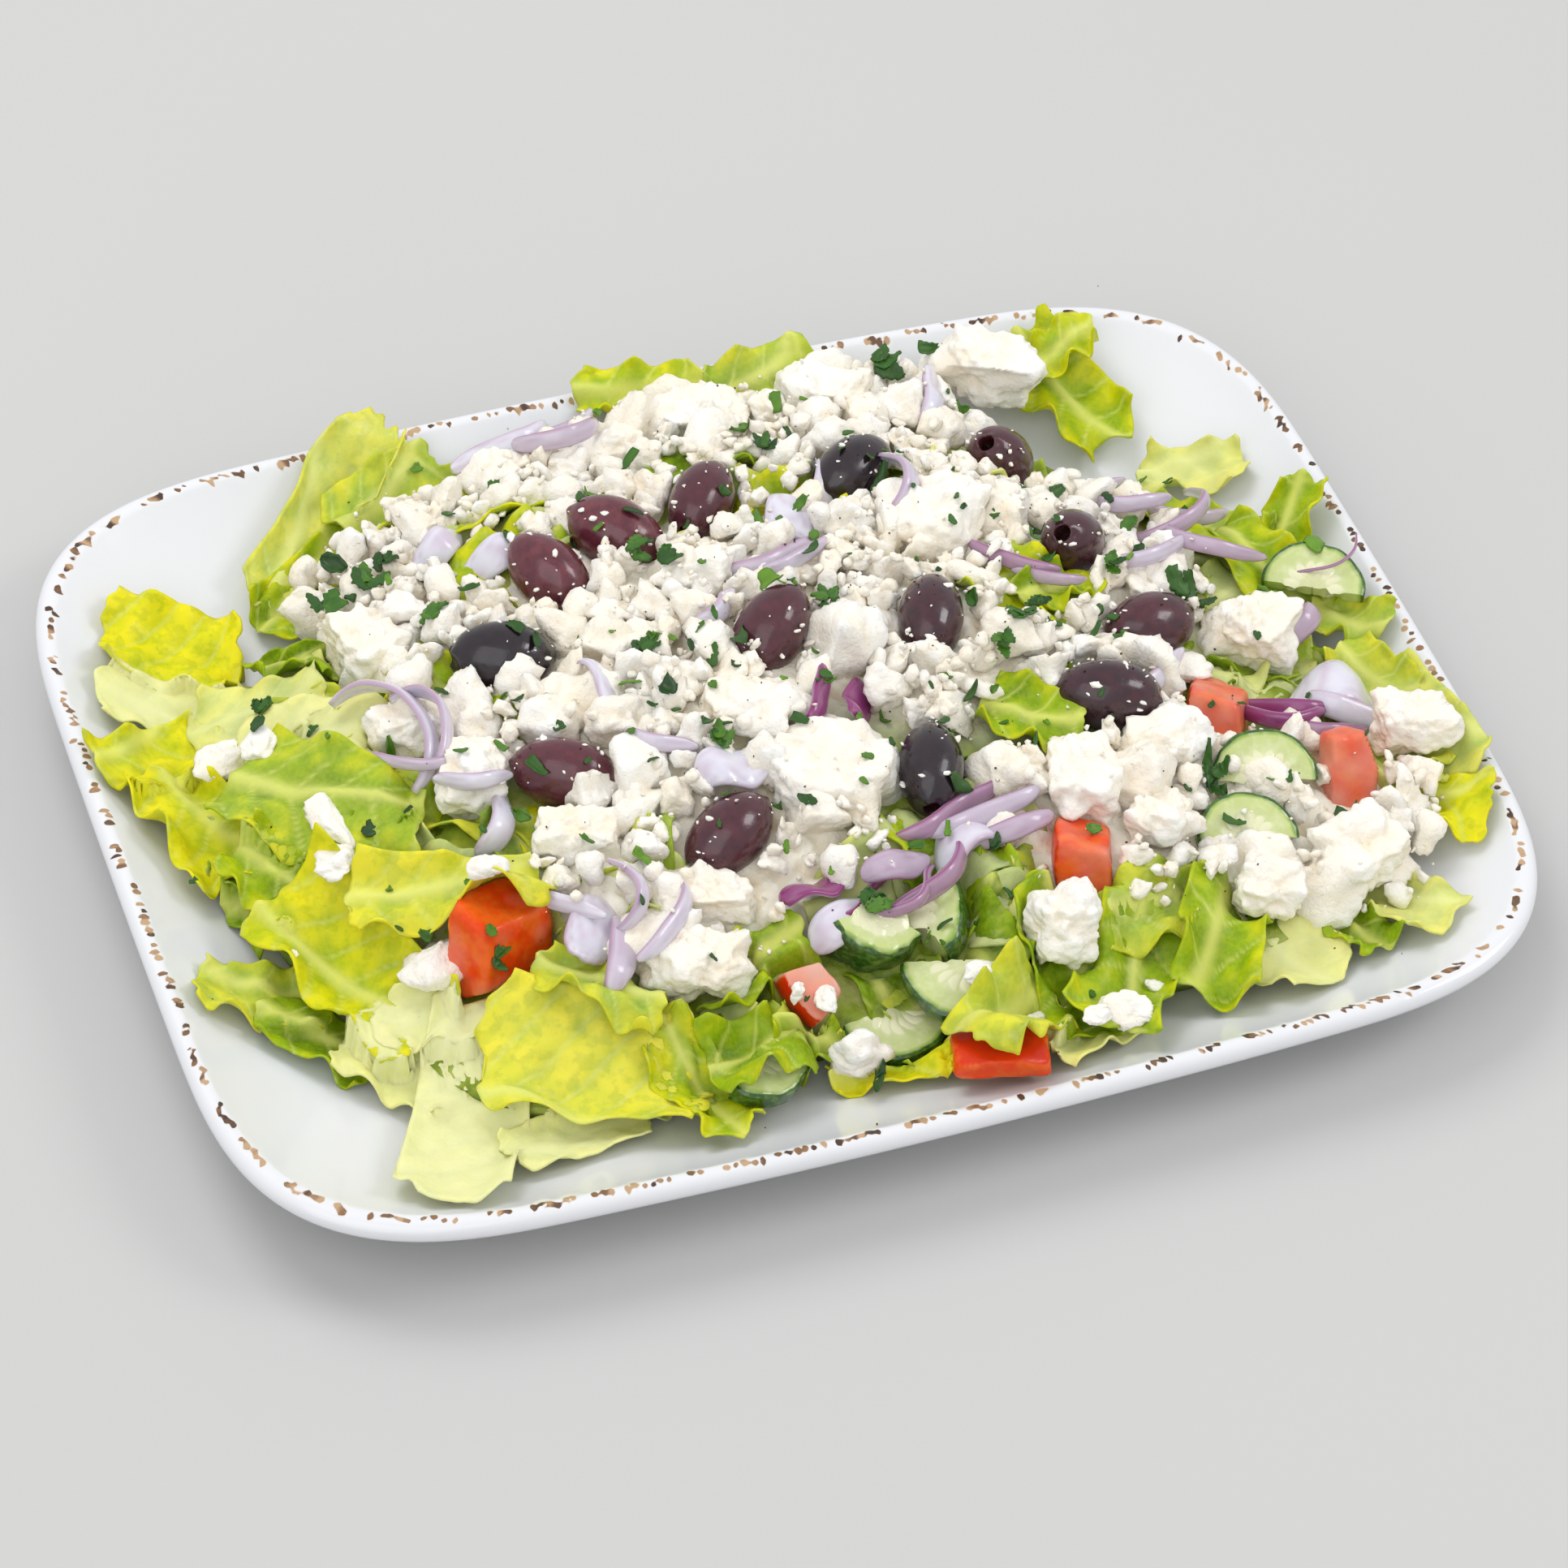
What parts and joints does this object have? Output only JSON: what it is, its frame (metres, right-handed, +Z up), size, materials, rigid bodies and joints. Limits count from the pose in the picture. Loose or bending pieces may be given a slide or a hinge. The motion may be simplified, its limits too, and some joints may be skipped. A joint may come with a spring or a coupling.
{
  "type": "greek salad on a platter",
  "caption": "Greek salad of chopped lettuce, feta chunks, pitted olives, tomato, cucumber and red onion heaped on a shallow white oblong platter with a speckled rim.",
  "frame": {"origin": "centre of the bounding box in X and Y, on the plane the foot ring stands on", "axes": "+X along the platter's long side, +Y across it to the far side, +Z up"},
  "size_m": [0.3078, 0.2424, 0.0496],
  "materials": {
    "white_glaze": "glossy white melamine with brown fleck pits along the crest of the rim",
    "lettuce": "moist leaf, yellow-green with pale ribs",
    "olive_skin": "oily dark purple skin",
    "feta_cheese": "crumbly moist white cheese",
    "cucumber_flesh": "wet pale green flesh with dark green skin",
    "tomato_flesh": "wet red skin and flesh",
    "red_onion": "translucent white layer with a purple skin side"
  },
  "bodies": {
    "root": {"cucumber_01": "cucumber_flesh", "cucumber_02": "cucumber_flesh", "cucumber_03": "cucumber_flesh", "cucumber_04": "cucumber_flesh", "cucumber_05": "cucumber_flesh", "cucumber_06": "cucumber_flesh", "cucumber_07": "cucumber_flesh", "cucumber_08": "cucumber_flesh", "feta_01": "feta_cheese", "feta_02": "feta_cheese", "feta_03": "feta_cheese", "feta_04": "feta_cheese", "feta_05": "feta_cheese", "feta_06": "feta_cheese", "feta_07": "feta_cheese", "feta_08": "feta_cheese", "feta_09": "feta_cheese", "feta_10": "feta_cheese", "feta_11": "feta_cheese", "feta_12": "feta_cheese", "feta_13": "feta_cheese", "feta_14": "feta_cheese", "feta_15": "feta_cheese", "feta_16": "feta_cheese", "feta_17": "feta_cheese", "feta_18": "feta_cheese", "feta_19": "feta_cheese", "feta_20": "feta_cheese", "feta_21": "feta_cheese", "feta_22": "feta_cheese", "olive_01": "olive_skin", "olive_02": "olive_skin", "olive_03": "olive_skin", "olive_04": "olive_skin", "olive_05": "olive_skin", "olive_06": "olive_skin", "olive_07": "olive_skin", "olive_08": "olive_skin", "olive_09": "olive_skin", "olive_10": "olive_skin", "olive_11": "olive_skin", "olive_12": "olive_skin", "olive_13": "olive_skin", "olive_14": "olive_skin", "onion_01": "red_onion", "onion_02": "red_onion", "onion_03": "red_onion", "onion_04": "red_onion", "onion_05": "red_onion", "onion_06": "red_onion", "onion_07": "red_onion", "platter": "white_glaze", "salad_bed": "lettuce", "tomato_01": "tomato_flesh", "tomato_02": "tomato_flesh", "tomato_03": "tomato_flesh", "tomato_04": "tomato_flesh", "tomato_05": "tomato_flesh", "tomato_06": "tomato_flesh"}
  },
  "joints": []
}
